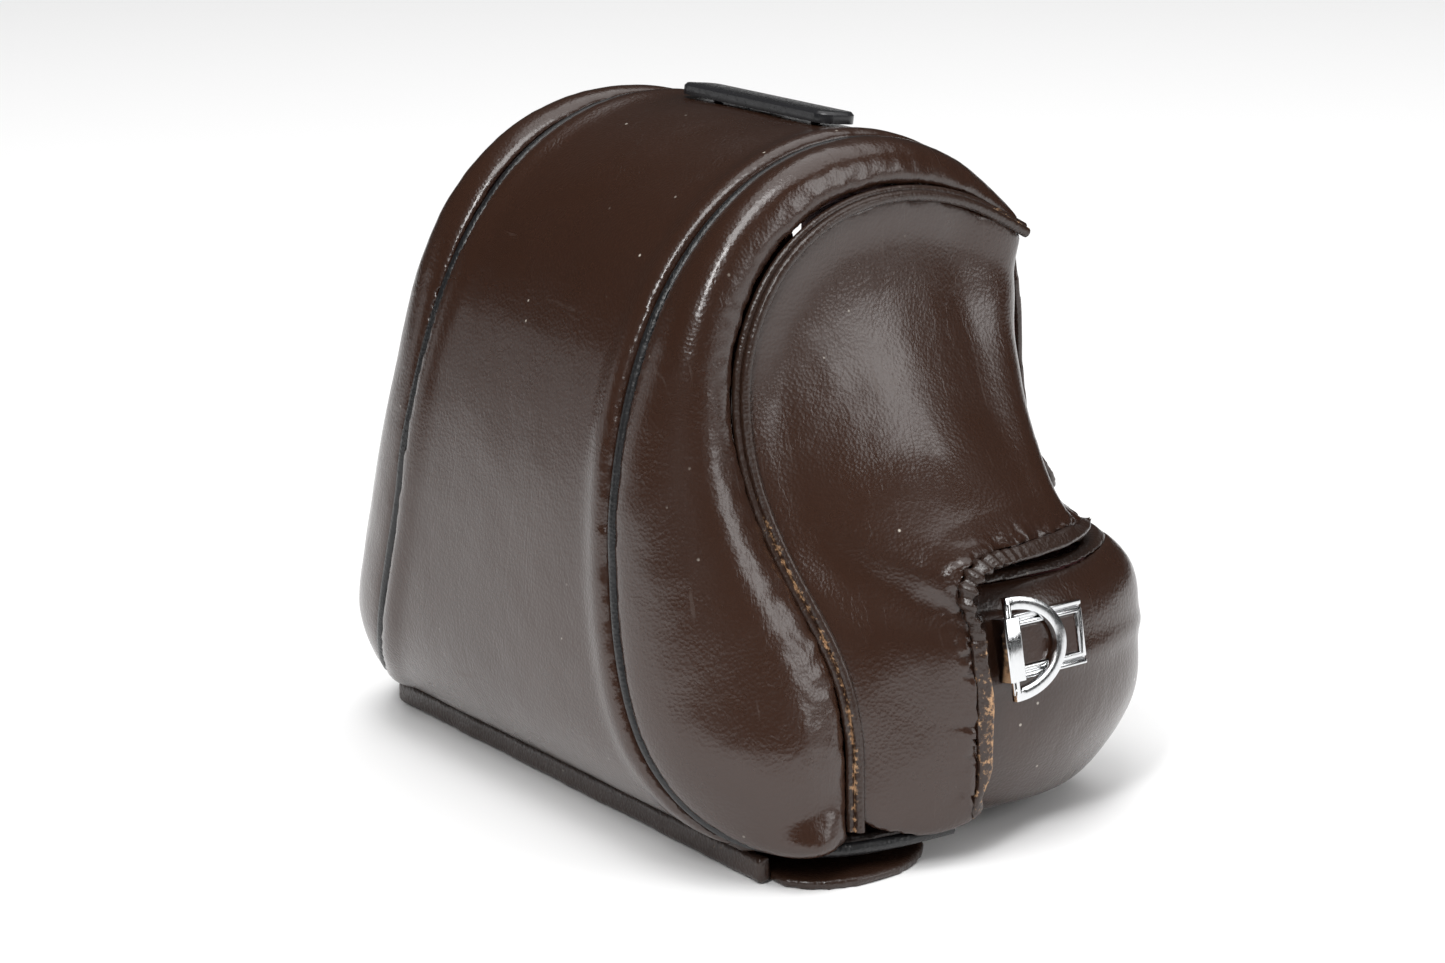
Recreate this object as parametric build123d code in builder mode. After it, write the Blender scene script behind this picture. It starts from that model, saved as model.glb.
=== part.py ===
"""Ever-ready case for a 35 mm reflex camera: a leather half case that holds the body, a hooded front
cover that swings down from it, and a rear flap that snaps to the half case's back.

Frame: millimetres, origin on the table under the middle of the case, +X to the viewer's right as the
front is faced, -Y towards the front of the nose, +Z up.
"""

import math
import os

from build123d import *

# Overall size of the closed case
case_width = 158.0
case_height = 128.0
case_depth = 106.0

# Shell of the front cover
rim_height = 55.0
cover_leather = 2.0
cover_board = 0.8
cover_lining = 0.6
seam_width = 2.8
seam_proud = 0.5
binding_width = 3.2
binding_proud = 0.5
binding_inside = 0.6
lining_setback = 9.0
lining_slack = 1.4

# Half case and its sole
half_case_height = 51.8
tray_leather = 2.0
tray_lining = 0.8
tray_binding = 1.6
tray_set_in = 2.0
sole_thickness = 4.0
sole_web = 0.6
sole_inset = 11.0
sole_setback = 17.0
mouth_width = 104.0
mouth_sill = 17.0
mouth_corner = 9.0

# Nose floor and the flap under it, which is the cover's hinge
floor_gap = 0.6
flap_thickness = 1.8
flap_gap = 0.5
front_welt_width = 2.8
welt_setback = 2.6

# Rear flap and its press stud
rear_leather = 1.8
rear_lining = 0.6
lap_clearance = 0.4
tongue_width = 46.0
tongue_reach = 20.0
stud_radius = 2.4
stud_height = 1.5
stud_stand_off = 0.25
cap_radius = 6.2
cap_height = 1.2
eyelet_radius = 1.7

# Strap fittings on the ends of the half case
fitting_height = 40.0
fitting_setback = 9.5
fitting_tilt = 12.0
rail_length = 20.0
rail_width = 2.2
rail_height = 1.5
rail_spacing = 9.6
ring_span = 19.0
ring_reach = 12.6
ring_width = 2.3
ring_thickness = 1.3
ring_bar_radius = 0.75
clip_length = 11.6
clip_width = 3.6
clip_sheet = 0.5
plate_thickness = 0.5
rivet_radius = 0.9
rivet_grip = 1.8
fitting_stand_off = -0.7
running_clearance = 0.1
skin_gap = 0.1

# How far the moving pieces open, in degrees
cover_opening = 95.0
rear_opening = 140.0
ring_opening = 135.0

# Tripod screw
stud_thread_radius = 3.175
stud_reach = 4.0
stud_chamfer = 0.5
thumb_radius = 10.5
thumb_thickness = 1.3
thumb_recess = 0.3
ring_groove = 0.5
ring_sheet = 0.4
screw_travel = 1.1
grommet_radius = 6.5
grommet_wall = 0.7
grommet_flange = 0.5
knurl_count = 36

# Blank badge on the top
badge_length = 46.0
badge_width = 9.0
badge_height = 2.2
badge_prong_radius = 0.9

back_y = case_depth / 2
cover_thickness = cover_leather + cover_board + cover_lining
wall = tray_leather + tray_lining
tray_half_width = case_width / 2 - tray_set_in
tray_back_y = back_y - tray_set_in / 4
tray_front_y = -2.0 * case_depth / 106
hinge_y = tray_front_y

os.makedirs("parts", exist_ok=True)


def save(builder, name):
    """Writes one finished piece as its own STEP."""
    builder.part.label = name
    export_step(builder.part, f"parts/{name}.step")


def save_pair(builder, name):
    """Writes a right-hand piece and its mirror image on the left."""
    with BuildPart() as other:
        mirror(builder.part, about=Plane.YZ)
    save(builder, f"{name}_right")
    save(other, f"{name}_left")


def skin(x, y, z):
    """A point of the outer skin, drawn on a case of 158 x 106 x 128 mm and carried to the driving sizes."""
    drawn_rim = 55
    if z <= drawn_rim:
        level = z * rim_height / drawn_rim
    else:
        level = rim_height + (z - drawn_rim) * (case_height - rim_height) / (128 - drawn_rim)
    return Vector(x * case_width / 158, y * case_depth / 106, level)


# ---------------------------------------------------------------- the cover's seams
# Every seam is a curve on the skin. Sections are taken in half-planes around one axis that runs
# across the case inside the notch, so each panel is a loft from station to station.
axis = skin(0, 25.5, 30)

piping_line = Spline(
    skin(33, 41.5, 109),
    skin(33, 29.5, 120.5),
    skin(33, 10.5, 127.5),
    skin(33, -9.5, 125.8),
    skin(33, -26.5, 116.6),
    skin(33, -38, 103.5),
    skin(33.5, -45, 89.5),
    skin(35, -50.2, 70),
    skin(38, -52.6, 48),
    skin(42, -53, 33),
    skin(46.5, -51.5, 22),
    skin(54, -46.5, 12),
    skin(62, -39.5, 6.8),
    skin(68.5, -30, 5.4),
    skin(72, -18, 5.4),
    skin(75, 2.5, 6),
)
shoulder_seam = Spline(
    skin(42, 41, 106.5),
    skin(42.5, 31.5, 112),
    skin(44, 5.5, 119),
    skin(45, -13.5, 115),
    skin(45, -25.5, 104),
    skin(46, -30.5, 91),
    skin(47.5, -31.5, 79),
    skin(51, -29.5, 66),
    skin(56.5, -27.5, 55.5),
    skin(63, -24, 44),
    skin(67, -22, 33),
    skin(69, -22, 20),
    skin(70, -22.5, 6),
)
flank_edge = Spline(
    skin(44, 45, 52),
    skin(35, 45, 62),
    skin(31, 44.5, 74),
    skin(30, 43.5, 90),
    skin(33.5, 41.5, 102),
    skin(41, 38.5, 107.5),
    skin(43, 29, 113),
    skin(44, 5.5, 119),
    skin(45, -13.5, 115),
    skin(45, -25.5, 104),
    skin(46, -30.5, 91),
    skin(47.5, -31.5, 79),
    skin(51, -29.5, 66),
    skin(56.5, -27.5, 55.5),
    skin(63, -24, 44),
    skin(67, -22, 33),
    skin(69, -22, 20),
    skin(71, -21.5, 8),
    skin(73.8, -10, 7),
    skin(75.6, 2.5, 7.2),
)
rim_line = Spline(
    skin(56, 43.5, 55),
    skin(64, 39, 55),
    skin(70, 31, 55),
    skin(73.5, 20, 55),
    skin(75.5, 8, 55.3),
    skin(76.8, 0.5, 54),
    skin(78, 0, 46),
    skin(79, 2, 35),
    skin(79, 2.6, 25),
    skin(78, 2.6, 15),
    skin(76, 2.6, 9),
)


def station(angle):
    """The half-plane at an angle about the axis: sketch x runs across the case, sketch y outwards."""
    sine = math.sin(math.radians(angle))
    cosine = math.cos(math.radians(angle))
    return Plane(origin=axis, x_dir=(1, 0, 0), z_dir=(0, -sine, cosine))


def crossing(curve, angle):
    """Where a seam crosses a station, as (across, outwards)."""
    low, high = 0.0, 1.0
    for _ in range(40):
        middle = (low + high) / 2
        here = curve @ middle - axis
        if math.degrees(math.atan2(here.Z, here.Y)) % 360 < angle:
            low = middle
        else:
            high = middle
    here = curve @ low - axis
    return Vector(here.X, math.hypot(here.Y, here.Z))


def unit(start, end):
    return (end - start).normalized()


def inward(start, end):
    """Unit vector into the case, square to a section's chord."""
    chord = unit(start, end)
    return Vector(chord.Y, -chord.X)


def hollow(angle):
    """How far the flank's skin lies inside its chord at a station; below 0 it stands out."""
    known = [(55, 0.5), (66, 3), (78, 6), (95, 8), (115, 7.5), (130, 6), (145, 2.5), (160, -0.5), (226, -1)]
    for (low, a), (high, b) in zip(known, known[1:]):
        if angle <= high:
            return a + (b - a) * max(0.0, angle - low) / (high - low)
    return known[-1][1]


def bulge(angle):
    """How far the cheek's padded skin stands out from its chord at a station; below 0 is outwards."""
    known = [(80, -1.5), (96, -3.5), (112, -5), (128, -6.5), (140, -7.5), (155, -8), (170, -9),
             (185, -9.5), (196, -6), (203, -3)]
    for (low, a), (high, b) in zip(known, known[1:]):
        if angle <= high:
            return a + (b - a) * max(0.0, angle - low) / (high - low)
    return known[-1][1]


def curved_strip(angles, edges, rise, top, bottom, gaps, end_from=None):
    """A sheet between two seams that is curved across its width."""
    start_gap, end_gap = gaps
    shares = [0, 0.25, 0.5, 0.75, 1]
    with BuildPart() as strip:
        for angle in angles:
            start, end = crossing(edges[0], angle), crossing(edges[1], angle)
            along, into = unit(start, end), inward(start, end)
            length = (end - start).length
            first = start_gap if end_from is None else length - end_from
            reach = length - end_gap - first
            trail = []
            for share in shares:
                here = first + reach * share
                sag = 4 * rise(angle) * here * (length - here) / length**2
                trail.append(start + along * here + into * sag)
            with BuildSketch(station(angle)):
                with BuildLine():
                    outer = Spline(*[point + into * top for point in trail])
                    Line(outer @ 1, trail[-1] + into * bottom)
                    inner = Spline(*[point + into * bottom for point in reversed(trail)])
                    Line(inner @ 1, outer @ 0)
                make_face()
        loft()
    return strip


def welt(angles, curve, before, after, half, depth):
    """A kite-shaped welt that fills the gap between two panels and stands a little proud."""
    with BuildPart() as strip:
        for angle in angles:
            seam = crossing(curve, angle)
            to_before = unit(seam, before(angle, seam))
            to_after = unit(seam, after(angle, seam))
            into = (to_before + to_after).normalized() if (to_before + to_after).length > 0.2 else Vector(0, -1)
            with BuildSketch(station(angle)):
                with BuildLine():
                    Polyline(seam + to_before * half, seam - into * seam_proud, seam + to_after * half,
                             seam + into * depth, close=True)
                make_face()
        loft()
    return strip


# ---------------------------------------------------------------- the cover's panels
top_angle = 80
middle_angles = [top_angle, 88, 96, 104, 112, 120, 128, 136, 146, 156, 166, 176, 184, 190, 195, 199]
piping_angles = middle_angles + [204, 210, 216, 221]
cheek_angles = [top_angle, 88, 96, 104, 112, 120, 128, 136, 144, 152, 160, 168, 176, 184, 190, 196, 203]
flank_angles = [58, 64, 70, 75, 80, 88, 98, 108, 118, 128, 138, 148, 158, 170, 184, 198, 210, 220]
seam_half = seam_width / 2
seam_gap = seam_half + 0.15
flank_gap = seam_gap + 0.8
lining_gap = seam_gap + 1.2
binding_gap = binding_width + 1.7
board_top = cover_leather
lining_top = cover_leather + cover_board


def middle_strip(top, bottom):
    """The band that runs up the front of the nose and over the top, between the two pipings."""
    with BuildPart() as strip:
        for angle in middle_angles:
            edge = crossing(piping_line, angle)
            with BuildSketch(station(angle)):
                with Locations((0, edge.Y - (top + bottom) / 2)):
                    Rectangle(2 * (edge.X - seam_gap), bottom - top)
        loft()
    return strip


def across(angle, seam):
    return seam + Vector(-1, 0)


def outwards(angle, seam):
    return seam + Vector(0, 1)


def to_outside(angle, seam):
    """From the piping towards the cheek, or towards the flank below the cheek's foot."""
    return seam + Vector(1, 0) if angle < cheek_angles[-1] else crossing(rim_line, angle)


def to_rim(angle, seam):
    return crossing(rim_line, angle)


save(middle_strip(board_top, lining_top), "nose_board")
save(middle_strip(lining_top, cover_thickness), "nose_lining")

cheek_seams = (piping_line, shoulder_seam)
flank_seams = (flank_edge, rim_line)
cheek_panel = curved_strip(cheek_angles, cheek_seams, bulge, 0, cover_leather, (seam_gap + 0.1, seam_gap))
save_pair(cheek_panel, "cheek_panel")
cheek_lining = curved_strip(cheek_angles[:-1], cheek_seams, bulge, board_top + lining_slack,
                            cover_thickness + lining_slack, (lining_gap, lining_gap))
save_pair(cheek_lining, "cheek_lining")

flank_panel = curved_strip(flank_angles, flank_seams, hollow, 0, cover_leather,
                           (flank_gap, binding_gap))
save_pair(flank_panel, "flank_panel")
flank_lining = curved_strip(flank_angles[:-3], flank_seams, hollow, board_top + lining_slack,
                            cover_thickness + lining_slack, (lining_gap, lining_setback))
save_pair(flank_lining, "flank_lining")
rim_binding = curved_strip(flank_angles, flank_seams, hollow, -binding_proud,
                           cover_leather + binding_inside, (0, 0), end_from=binding_width)
save_pair(rim_binding, "rim_binding")

piping = welt(piping_angles, piping_line, across, to_outside, seam_half, cover_leather)
save_pair(piping, "piping")
shoulder_welt = welt(cheek_angles, shoulder_seam, outwards, to_rim, seam_half, cover_leather)
save_pair(shoulder_welt, "shoulder_welt")

# ---------------------------------------------------------------- the badge on top
badge_tilt = 7.0
badge_plane = Plane(
    origin=skin(0, 10.5, 128.0),
    x_dir=(1, 0, 0),
    z_dir=(0, math.sin(math.radians(badge_tilt)), math.cos(math.radians(badge_tilt))),
)
prong_spots = [(-badge_length / 3, 0), (badge_length / 3, 0)]

with BuildPart() as badge:
    with BuildSketch(badge_plane):
        RectangleRounded(badge_length, badge_width, badge_width / 3)
    extrude(amount=badge_height)
    chamfer(badge.faces().sort_by(Axis.Z)[-1].edges(), badge_height / 4)
    with BuildSketch(badge_plane):
        with Locations(*prong_spots):
            Circle(badge_prong_radius)
    extrude(amount=-cover_leather)

with BuildPart() as center_panel:
    add(middle_strip(0, cover_leather).part)
    with BuildSketch(badge_plane):
        with Locations(*prong_spots):
            Circle(badge_prong_radius + running_clearance)
    extrude(amount=-2 * cover_leather, mode=Mode.SUBTRACT)
save(center_panel, "center_panel")
save(badge, "badge")

# ---------------------------------------------------------------- the floor of the nose and its flap
floor_z = skin(0, 0, 5.4).Z
floor_back = hinge_y - floor_gap
floor_front = skin(0, -39.0, 0).Y


def nose_floor(bottom, top, margin, front):
    """A plate under the lens, inside the line of the piping."""
    with BuildPart() as plate:
        with BuildSketch(Plane.XY.offset(floor_z + bottom)):
            with BuildLine():
                side = Spline(
                    (skin(60, 0, 0).X - margin, front),
                    (skin(66.6, 0, 0).X - margin, skin(0, -30, 0).Y),
                    (skin(70.3, 0, 0).X - margin, skin(0, -18, 0).Y),
                    (skin(72.2, 0, 0).X - margin, floor_back),
                )
                mirror(side, about=Plane.YZ)
                Line(side @ 0, Vector(-(side @ 0).X, front))
                Line(side @ 1, Vector(-(side @ 1).X, floor_back))
            make_face()
        extrude(amount=top - bottom)
    return plate


save(nose_floor(0, cover_leather, 2.4, floor_front), "floor_panel")
save(nose_floor(cover_leather, cover_thickness, 7.0, floor_front + 2 * cover_thickness), "floor_lining")

flap_back = hinge_y - flap_gap
flap_front = floor_front + front_welt_width / 2 + welt_setback
with BuildPart() as base_flap:
    with BuildSketch():
        with BuildLine():
            side = Spline(
                (skin(66, 0, 0).X, flap_back),
                (skin(72, 0, 0).X, skin(0, -11, 0).Y),
                (skin(73.5, 0, 0).X, skin(0, -20, 0).Y),
                (skin(70.5, 0, 0).X, skin(0, -30, 0).Y),
                (skin(65, 0, 0).X, flap_front),
            )
            mirror(side, about=Plane.YZ)
            Line(side @ 0, Vector(-(side @ 0).X, flap_back))
            Line(side @ 1, Vector(-(side @ 1).X, flap_front))
        make_face()
    extrude(amount=flap_thickness)
save(base_flap, "base_flap")

with BuildPart() as front_welt:
    with BuildSketch(Plane.YZ.offset(-skin(62, 0, 0).X)):
        with Locations((flap_front - front_welt_width / 2 - 0.05, floor_z / 2)):
            RectangleRounded(front_welt_width, floor_z - 0.1, front_welt_width / 2 - 0.05)
    extrude(amount=2 * skin(62, 0, 0).X)
save(front_welt, "front_welt")

# ---------------------------------------------------------------- the half case
# Each level is (height, how far the ends stand inside the widest, how far the back does).
tray_levels = [
    (sole_thickness, 13.0, 8.0),
    (sole_thickness + 3.5, 7.0, 3.5),
    (15, 2.8, 1.0),
    (28, 0, 0),
    (38, 0.7, 0),
    (46, 3.0, 0.3),
    (half_case_height - 2.5, 5.6, 2.2),
    (half_case_height, 8.0, 4.4),
]


def tray_block(inset):
    """The half case's outside, or the same shape inset all round, open to above its top edge when inset."""
    levels = list(tray_levels)
    if inset > 0:
        levels[0] = (sole_thickness + inset, tray_levels[0][1] - inset, tray_levels[0][2] - inset)
        levels.append((half_case_height + 3, 10.0, 6.6))
    with BuildPart() as block:
        for level, end_in, back_in in levels:
            end = tray_half_width - end_in - inset
            back = tray_back_y - back_in - inset
            front = tray_front_y + inset
            with BuildSketch(Plane.XY.offset(level)):
                with BuildLine():
                    side = Spline(
                        (end - 3.0, front),
                        (end, front + 15),
                        (end - 1.2, front + 33),
                        (end - 8.5, back - 4.6),
                        (end - 22, back),
                        tangents=[(0.3, 1), (-1, 0)],
                    )
                    mirror(side, about=Plane.YZ)
                    Line(side @ 0, Vector(-(side @ 0).X, front))
                    Line(side @ 1, Vector(-(side @ 1).X, back))
                make_face()
        loft()
    return block


with BuildPart() as mouth:
    with BuildSketch(Plane.XZ.offset(-tray_front_y)):
        with Locations((0, mouth_sill + half_case_height / 2)):
            RectangleRounded(mouth_width, half_case_height, mouth_corner)
    extrude(amount=3 * wall, both=True)

screw_y = (tray_front_y + tray_back_y - sole_setback) / 2
tray_floor = sole_thickness + tray_leather
lining_floor = tray_floor + tray_lining
pocket_floor = tray_floor - 0.8
grommet_bore = stud_thread_radius + 0.35
stud_z = half_case_height - tongue_reach / 2 - 2
binding_floor = half_case_height - tray_binding

with BuildPart() as half_case:
    add(tray_block(0).part)
    add(tray_block(tray_leather).part, mode=Mode.SUBTRACT)
    split(bisect_by=Plane.XY.offset(binding_floor), keep=Keep.BOTTOM)
    add(mouth.part, mode=Mode.SUBTRACT)
    with Locations((0, screw_y, pocket_floor)):
        Cylinder(grommet_radius, 20, align=(Align.CENTER, Align.CENTER, Align.MIN), mode=Mode.SUBTRACT)
        Cylinder(grommet_bore + grommet_wall, 20, mode=Mode.SUBTRACT)
    with Locations(Plane((0, tray_back_y, stud_z), z_dir=(0, 1, 0))):
        Cylinder(eyelet_radius, 4 * wall, mode=Mode.SUBTRACT)

with BuildPart() as half_case_lining:
    add(tray_block(tray_leather).part)
    add(tray_block(wall).part, mode=Mode.SUBTRACT)
    split(bisect_by=Plane.XY.offset(binding_floor), keep=Keep.BOTTOM)
    add(mouth.part, mode=Mode.SUBTRACT)
    with Locations((0, screw_y, pocket_floor)):
        Cylinder(grommet_radius, 20, align=(Align.CENTER, Align.CENTER, Align.MIN), mode=Mode.SUBTRACT)
    with Locations(Plane((0, tray_back_y, stud_z), z_dir=(0, 1, 0))):
        Cylinder(eyelet_radius, 4 * wall, mode=Mode.SUBTRACT)

with BuildPart() as half_case_binding:
    add(tray_block(0).part)
    add(tray_block(wall).part, mode=Mode.SUBTRACT)
    split(bisect_by=Plane.XY.offset(binding_floor), keep=Keep.TOP)
    add(mouth.part, mode=Mode.SUBTRACT)
save(half_case_binding, "half_case_binding")

sole_end = tray_half_width - tray_levels[0][1] - sole_inset
sole_back = tray_back_y - tray_levels[0][2] - sole_inset
well_radius = thumb_radius + 1.0
well_roof = sole_thickness - sole_web
with BuildPart() as sole:
    with BuildSketch():
        with Locations((0, (tray_front_y + sole_back) / 2)):
            RectangleRounded(2 * sole_end, sole_back - tray_front_y, 7)
    extrude(amount=sole_thickness)
    with Locations((0, screw_y, 0)):
        Cylinder(well_radius, well_roof, align=(Align.CENTER, Align.CENTER, Align.MIN), mode=Mode.SUBTRACT)
        Cylinder(grommet_bore + grommet_wall, 20, mode=Mode.SUBTRACT)
save(sole, "sole")

# ---------------------------------------------------------------- the tripod screw
with BuildPart() as grommet:
    with Locations((0, screw_y, well_roof - grommet_flange)):
        Cylinder(grommet_radius, grommet_flange, align=(Align.CENTER, Align.CENTER, Align.MIN))
    with Locations((0, screw_y, well_roof)):
        Cylinder(grommet_bore + grommet_wall, pocket_floor - well_roof,
                 align=(Align.CENTER, Align.CENTER, Align.MIN))
    with Locations((0, screw_y, 0)):
        Cylinder(grommet_bore, 20, mode=Mode.SUBTRACT)
save(grommet, "screw_grommet")

ring_z = pocket_floor + 0.1
groove_z = ring_z - (ring_groove - ring_sheet) / 2
groove_radius = stud_thread_radius - 0.55
with BuildPart() as screw_ring:
    with Locations((0, screw_y, ring_z)):
        Cylinder(grommet_radius - 0.6, ring_sheet, align=(Align.CENTER, Align.CENTER, Align.MIN))
        Cylinder(groove_radius + running_clearance, 3, mode=Mode.SUBTRACT)
save(screw_ring, "screw_ring")

stud_top = lining_floor + stud_reach
with BuildPart() as tripod_screw:
    with Locations((0, screw_y, thumb_recess)):
        Cylinder(thumb_radius, thumb_thickness, align=(Align.CENTER, Align.CENTER, Align.MIN))
        with PolarLocations(thumb_radius, knurl_count):
            Cylinder(0.45, 3 * thumb_thickness, mode=Mode.SUBTRACT)
    with Locations((0, screw_y, thumb_recess)):
        Box(1.6 * thumb_radius, 1.4, 1.0, mode=Mode.SUBTRACT)
    with Locations((0, screw_y, thumb_recess + thumb_thickness)):
        Cylinder(stud_thread_radius, stud_top - thumb_recess - thumb_thickness,
                 align=(Align.CENTER, Align.CENTER, Align.MIN))
    chamfer(tripod_screw.faces().sort_by(Axis.Z)[-1].edges(), stud_chamfer)
    with BuildSketch(Plane.XY.offset(groove_z)):
        with Locations((0, screw_y)):
            Circle(stud_thread_radius + 1)
            Circle(groove_radius, mode=Mode.SUBTRACT)
    extrude(amount=ring_groove, mode=Mode.SUBTRACT)
save(tripod_screw, "tripod_screw")

# ---------------------------------------------------------------- the rear flap and its press stud
rear_top = skin(0, 0, 106.5).Z
rear_hinge = skin(0, 42.2, 109.5)
tongue_end = half_case_height - tongue_reach
lap_y = tray_back_y + lap_clearance


def rear_sheet(start, end, margin):
    """The flap that hangs from the back of the middle panel and laps over the half case."""
    with BuildPart() as sheet:
        with BuildSketch(Plane.YZ):
            with BuildLine():
                inner = Spline(
                    (skin(0, 43.6, 0).Y + start, rear_top),
                    (skin(0, 45.0, 0).Y + start, skin(0, 0, 90).Z),
                    (skin(0, 45.5, 0).Y + start, skin(0, 0, 74).Z),
                    (skin(0, 46.5, 0).Y + start, skin(0, 0, 63).Z),
                    (lap_y + start, half_case_height - 1),
                    tangents=[(0.05, -1), (0, -1)],
                )
                Line(inner @ 1, Vector(lap_y + start, tongue_end - 1))
                outer = Spline(
                    (skin(0, 43.6, 0).Y + end, rear_top),
                    (skin(0, 45.0, 0).Y + end, skin(0, 0, 90).Z),
                    (skin(0, 45.5, 0).Y + end, skin(0, 0, 74).Z),
                    (skin(0, 46.5, 0).Y + end, skin(0, 0, 63).Z),
                    (lap_y + end, half_case_height - 1),
                    tangents=[(0.05, -1), (0, -1)],
                )
                Line(outer @ 1, Vector(lap_y + end, tongue_end - 1))
                Line(Vector(lap_y + start, tongue_end - 1), Vector(lap_y + end, tongue_end - 1))
                Line(inner @ 0, outer @ 0)
            make_face()
        extrude(amount=70, both=True)
        with BuildSketch(Plane.XZ):
            with BuildLine():
                side = Spline(
                    (skin(31, 0, 0).X - margin, rear_top - margin),
                    (skin(34, 0, 0).X - margin, skin(0, 0, 92).Z),
                    (skin(34.5, 0, 0).X - margin, skin(0, 0, 78).Z),
                    (skin(37.5, 0, 0).X - margin, skin(0, 0, 63).Z),
                    (tongue_width / 2 + 14 - margin, half_case_height + 2),
                    (tongue_width / 2 + 1 - margin, half_case_height - 6 + margin),
                    (tongue_width / 2 - 3 - margin, tongue_end + 5 + margin),
                    (tongue_width / 2 - 12, tongue_end + margin),
                )
                mirror(side, about=Plane.YZ)
                Line(side @ 0, Vector(-(side @ 0).X, rear_top - margin))
                Line(side @ 1, Vector(-(side @ 1).X, tongue_end + margin))
            make_face()
        extrude(amount=100, both=True, mode=Mode.INTERSECT)
    return sheet


socket_radius = stud_radius + 1.3
socket_wall = 1.2
cap_y = lap_y + rear_lining + rear_leather
press_plane = Plane((0, tray_back_y, stud_z), z_dir=(0, 1, 0))

with BuildPart() as rear_flap:
    add(rear_sheet(rear_lining, rear_lining + rear_leather, 0).part)
    with Locations(press_plane):
        Cylinder(socket_radius + socket_wall, 20, mode=Mode.SUBTRACT)
save(rear_flap, "rear_flap")

with BuildPart() as rear_flap_lining:
    add(rear_sheet(0, rear_lining, 1.0).part)
    with Locations(press_plane):
        Cylinder(socket_radius + socket_wall, 20, mode=Mode.SUBTRACT)
save(rear_flap_lining, "rear_flap_lining")

with BuildPart() as press_socket:
    with BuildSketch(press_plane.offset(lap_clearance)):
        Circle(socket_radius + socket_wall)
        Circle(socket_radius, mode=Mode.SUBTRACT)
    extrude(amount=rear_lining + rear_leather)
save(press_socket, "press_socket")

with BuildPart() as press_cap:
    with BuildSketch(press_plane.offset(cap_y - tray_back_y)):
        Circle(cap_radius)
    extrude(amount=cap_height)
    fillet(press_cap.faces().sort_by(Axis.Y)[-1].edges(), cap_height * 0.6)
save(press_cap, "press_cap")

with BuildPart() as press_stud:
    with BuildSketch(press_plane.offset(stud_stand_off)):
        Circle(stud_radius)
    extrude(amount=stud_height - stud_stand_off)
    fillet(press_stud.faces().sort_by(Axis.Y)[-1].edges(), stud_height * 0.4)
    with BuildSketch(press_plane.offset(-wall)):
        Circle(eyelet_radius - 0.05)
    extrude(amount=wall + 2 * stud_stand_off)
    with BuildSketch(press_plane.offset(-wall - 0.2)):
        Circle(2 * eyelet_radius)
    extrude(amount=-0.5)
    with BuildSketch(press_plane.offset(-wall - 0.3)):
        Circle(eyelet_radius - 0.05)
    extrude(amount=0.4)
save(press_stud, "press_stud")

# ---------------------------------------------------------------- strap fittings on the ends
# Each fitting has its own plane on the end of the half case: x runs back along the rails, y up the face.
lean = math.radians(fitting_tilt)
fitting_y = tray_front_y + fitting_setback + rail_length / 2 - 3
fitting_plane = Plane(
    origin=(tray_half_width + fitting_stand_off, fitting_y, fitting_height),
    x_dir=(0, 1, 0),
    z_dir=(math.cos(lean), 0, math.sin(lean)),
)
plate_top = skin_gap + plate_thickness
half_rail = rail_length / 2
half_spacing = rail_spacing / 2
ring_level = plate_top + rail_height + running_clearance + ring_thickness / 2
rivet_spots = [(-half_rail / 2, 0), (half_rail / 2, 0)]

with BuildPart() as strap_frame:
    with BuildSketch(fitting_plane.offset(skin_gap)):
        Rectangle(rail_length, rail_spacing + rail_width)
        with Locations(*rivet_spots):
            Circle(rivet_radius + running_clearance, mode=Mode.SUBTRACT)
    extrude(amount=plate_thickness)
    with BuildSketch(fitting_plane.offset(plate_top)):
        with Locations((0, -half_spacing), (0, half_spacing)):
            Rectangle(rail_length, rail_width)
        with Locations((half_rail - rail_width / 4, 0)):
            Rectangle(rail_width / 2, rail_spacing)
    extrude(amount=rail_height)
    with BuildSketch(fitting_plane.offset(plate_top + rail_height)):
        with Locations((0, -half_spacing), (0, half_spacing)):
            Rectangle(rail_length, rail_width / 5)
    extrude(amount=-rail_height / 3, mode=Mode.SUBTRACT)
    with BuildSketch(fitting_plane.offset(skin_gap)):
        with Locations((-half_rail + clip_width / 2, 0)):
            Rectangle(clip_width + 2 * running_clearance, clip_length + 2 * running_clearance)
    extrude(amount=2 * rail_height + ring_thickness, mode=Mode.SUBTRACT)
save_pair(strap_frame, "strap_frame")

with BuildPart() as strap_insert:
    with BuildSketch(fitting_plane.offset(plate_top)):
        with Locations((clip_width / 2 - rail_width / 4 + 0.1, 0)):
            Rectangle(rail_length - clip_width - rail_width / 2 - 0.4, rail_spacing - rail_width - 0.2)
    extrude(amount=rail_height * 0.7)
save_pair(strap_insert, "strap_insert")

ring_axis = Plane(
    origin=fitting_plane.from_local_coords(Vector(-half_rail + clip_width / 2, 0, ring_level)),
    x_dir=fitting_plane.x_dir,
    z_dir=fitting_plane.z_dir,
)
clip_top = ring_level + ring_bar_radius + clip_sheet
with BuildPart() as strap_clip:
    with BuildSketch(fitting_plane.offset(skin_gap)):
        with Locations((-half_rail + clip_width / 2, 0)):
            Rectangle(clip_width, clip_length)
    extrude(amount=clip_top - skin_gap)
    fillet(strap_clip.edges().filter_by(Axis((0, 0, 0), fitting_plane.y_dir)), 0.4)
    with BuildSketch(Plane(origin=ring_axis.origin, x_dir=(0, 1, 0), z_dir=fitting_plane.y_dir)):
        Circle(ring_bar_radius + running_clearance)
    extrude(amount=clip_length, both=True, mode=Mode.SUBTRACT)
save_pair(strap_clip, "strap_clip")

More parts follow.
